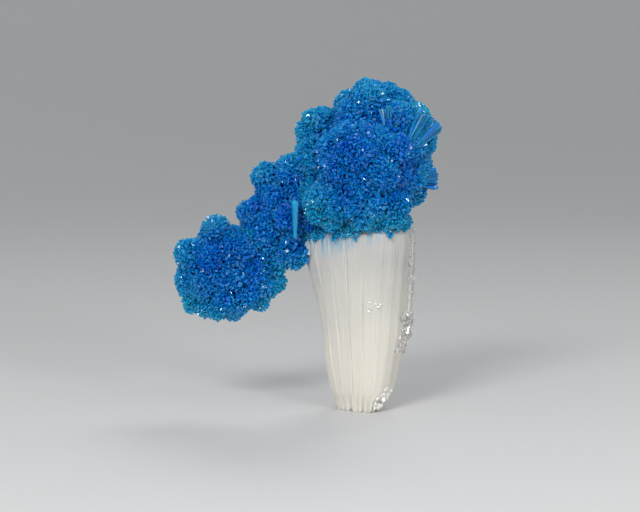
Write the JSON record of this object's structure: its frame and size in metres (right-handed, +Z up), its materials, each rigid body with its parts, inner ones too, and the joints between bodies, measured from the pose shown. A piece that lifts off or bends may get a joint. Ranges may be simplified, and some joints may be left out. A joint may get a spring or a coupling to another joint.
{
  "type": "cavansite specimen on a stilbite column",
  "caption": "Mineral specimen: sprays of blue cavansite crystals on the top and one side of an upright white stilbite column with a flat foot.",
  "frame": {"origin": "middle of the column's flat foot, on the surface that it stands on", "axes": "+Z up along the column, +X to the right of someone who faces the side with the blue rosette at their left, +Y away from them"},
  "size_m": [0.0323, 0.0199, 0.04],
  "materials": {
    "cavansite": "glassy, translucent blue crystals with bright flat faces",
    "stilbite": "pearly white, translucent, with fine upright grooves"
  },
  "bodies": {
    "root": {"cavansite": "cavansite", "stilbite_column": "stilbite"}
  },
  "joints": []
}
